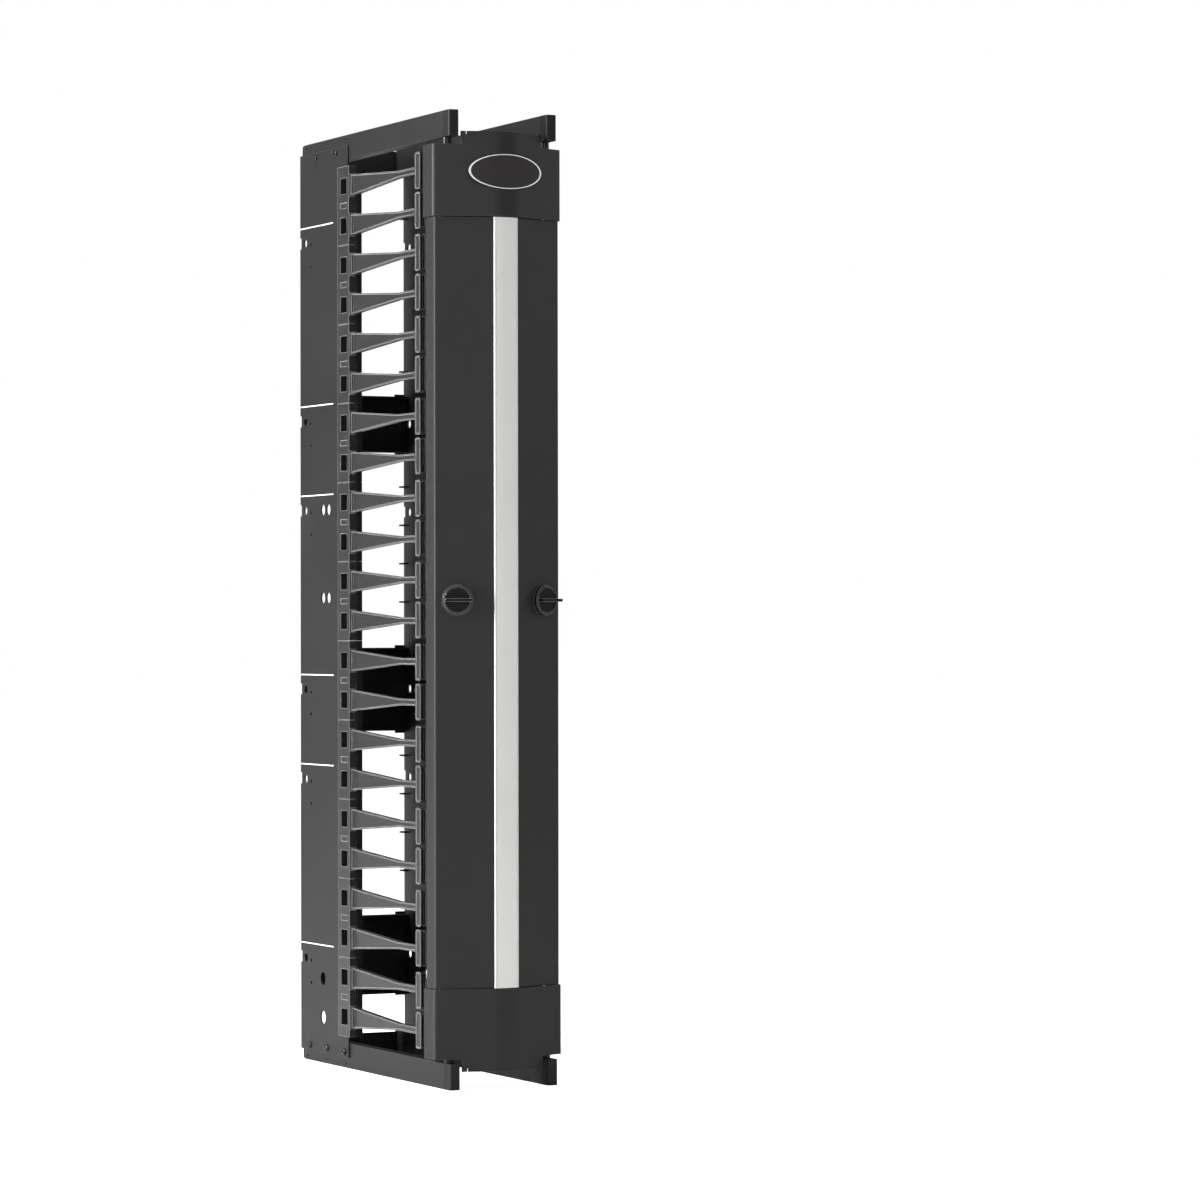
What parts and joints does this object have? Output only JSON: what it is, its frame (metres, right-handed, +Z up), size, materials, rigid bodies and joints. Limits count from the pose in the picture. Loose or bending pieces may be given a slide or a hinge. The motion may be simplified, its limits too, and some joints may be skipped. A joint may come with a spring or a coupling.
{
  "type": "vertical cable manager",
  "caption": "Vertical cable manager: open frame with cable fingers on both sides, a dual-hinged prow-shaped door with two latch knobs, and end caps.",
  "frame": {"origin": "bottom centre of the whole object's box, on the floor between the lower tubes", "axes": "+X to the right, +Y to the rear, +Z up; the door faces -Y"},
  "size_m": [0.1524, 0.4171, 1.048],
  "materials": {
    "powder_coat": "fine texture black powder coat",
    "door_coat": "fine texture black powder coat",
    "cap_coat": "fine texture black powder coat",
    "end_plastic": "matt moulded plastic",
    "finger_plastic": "satin moulded plastic",
    "knob_plastic": "gloss",
    "badge_plate": "satin, with a pale rim",
    "strip_metal": "satin",
    "screw_steel": "black zinc",
    "latch_steel": "zinc plated"
  },
  "bodies": {
    "root": {"tube_upper_left": "powder_coat", "tube_upper_right": "powder_coat", "tube_lower_left": "powder_coat", "tube_lower_right": "powder_coat", "tube_front_ends": "end_plastic", "tube_rear_plugs": "end_plastic", "side_plate_left": "powder_coat", "side_plate_right": "powder_coat", "rear_brace_1": "powder_coat", "rear_brace_2": "powder_coat", "rear_brace_3": "powder_coat", "rear_brace_4": "powder_coat", "rear_brace_5": "powder_coat", "frame_screws": "screw_steel", "fingers_left_01": "finger_plastic", "fingers_left_02": "finger_plastic", "fingers_left_03": "finger_plastic", "fingers_left_04": "finger_plastic", "fingers_left_05": "finger_plastic", "fingers_left_06": "finger_plastic", "fingers_left_07": "finger_plastic", "fingers_left_08": "finger_plastic", "fingers_left_09": "finger_plastic", "fingers_left_10": "finger_plastic", "fingers_left_11": "finger_plastic", "fingers_right_01": "finger_plastic", "fingers_right_02": "finger_plastic", "fingers_right_03": "finger_plastic", "fingers_right_04": "finger_plastic", "fingers_right_05": "finger_plastic", "fingers_right_06": "finger_plastic", "fingers_right_07": "finger_plastic", "fingers_right_08": "finger_plastic", "fingers_right_09": "finger_plastic", "fingers_right_10": "finger_plastic", "fingers_right_11": "finger_plastic", "finger_screws": "screw_steel", "upper_cap": "cap_coat", "lower_cap": "cap_coat", "badge": "badge_plate", "cap_posts": "screw_steel", "upper_hinge_brackets": "powder_coat", "lower_hinge_brackets": "powder_coat", "right_pivot_pins": "latch_steel"},
    "left_pivots": {"left_pivot_pins": "latch_steel"},
    "door": {"door_shell": "door_coat", "centre_strip": "strip_metal", "pin_cradles": "end_plastic", "rod_guides": "end_plastic", "escutcheons": "knob_plastic"},
    "left_knob": {"knob_left": "knob_plastic", "latch_cam_left": "latch_steel"},
    "right_knob": {"knob_right": "knob_plastic", "latch_cam_right": "latch_steel"},
    "upper_left_rod": {"rod_upper_left": "latch_steel"},
    "lower_left_rod": {"rod_lower_left": "latch_steel"},
    "upper_right_rod": {"rod_upper_right": "latch_steel"},
    "lower_right_rod": {"rod_lower_right": "latch_steel"}
  },
  "joints": [
    {"name": "left_hinge", "type": "hinge", "parent": "root", "child": "left_pivots", "pos_m": [-0.062, -0.17333, 0.521], "axis": [0, 0, -1], "range_deg": [0, 100]},
    {"name": "right_hinge", "type": "hinge", "parent": "left_pivots", "child": "door", "pos_m": [0.062, -0.17333, 0.521], "axis": [0, 0, -1], "range_deg": [-100, 0]},
    {"name": "left_knob_turn", "type": "hinge", "parent": "door", "child": "left_knob", "pos_m": [-0.051, -0.18929, 0.5235], "axis": [0.342, 0.9397, 0], "range_deg": [0, 90]},
    {"name": "right_knob_turn", "type": "hinge", "parent": "door", "child": "right_knob", "pos_m": [0.051, -0.18929, 0.5235], "axis": [0.342, -0.9397, 0], "range_deg": [0, 90]},
    {"name": "upper_left_rod_slide", "type": "slide", "parent": "door", "child": "upper_left_rod", "axis": [0, 0, 1], "range_m": [0, 0.01273]},
    {"name": "lower_left_rod_slide", "type": "slide", "parent": "door", "child": "lower_left_rod", "axis": [0, 0, -1], "range_m": [0, 0.0128]},
    {"name": "upper_right_rod_slide", "type": "slide", "parent": "door", "child": "upper_right_rod", "axis": [0, 0, 1], "range_m": [0, 0.01273]},
    {"name": "lower_right_rod_slide", "type": "slide", "parent": "door", "child": "lower_right_rod", "axis": [0, 0, -1], "range_m": [0, 0.0128]}
  ],
  "couplings": [
    {"joint": "left_knob_turn", "follows": "upper_left_rod_slide", "rad_per_m": 123.42},
    {"joint": "lower_left_rod_slide", "follows": "upper_left_rod_slide", "ratio": 1},
    {"joint": "right_knob_turn", "follows": "upper_right_rod_slide", "rad_per_m": 123.42},
    {"joint": "lower_right_rod_slide", "follows": "upper_right_rod_slide", "ratio": 1}
  ]
}
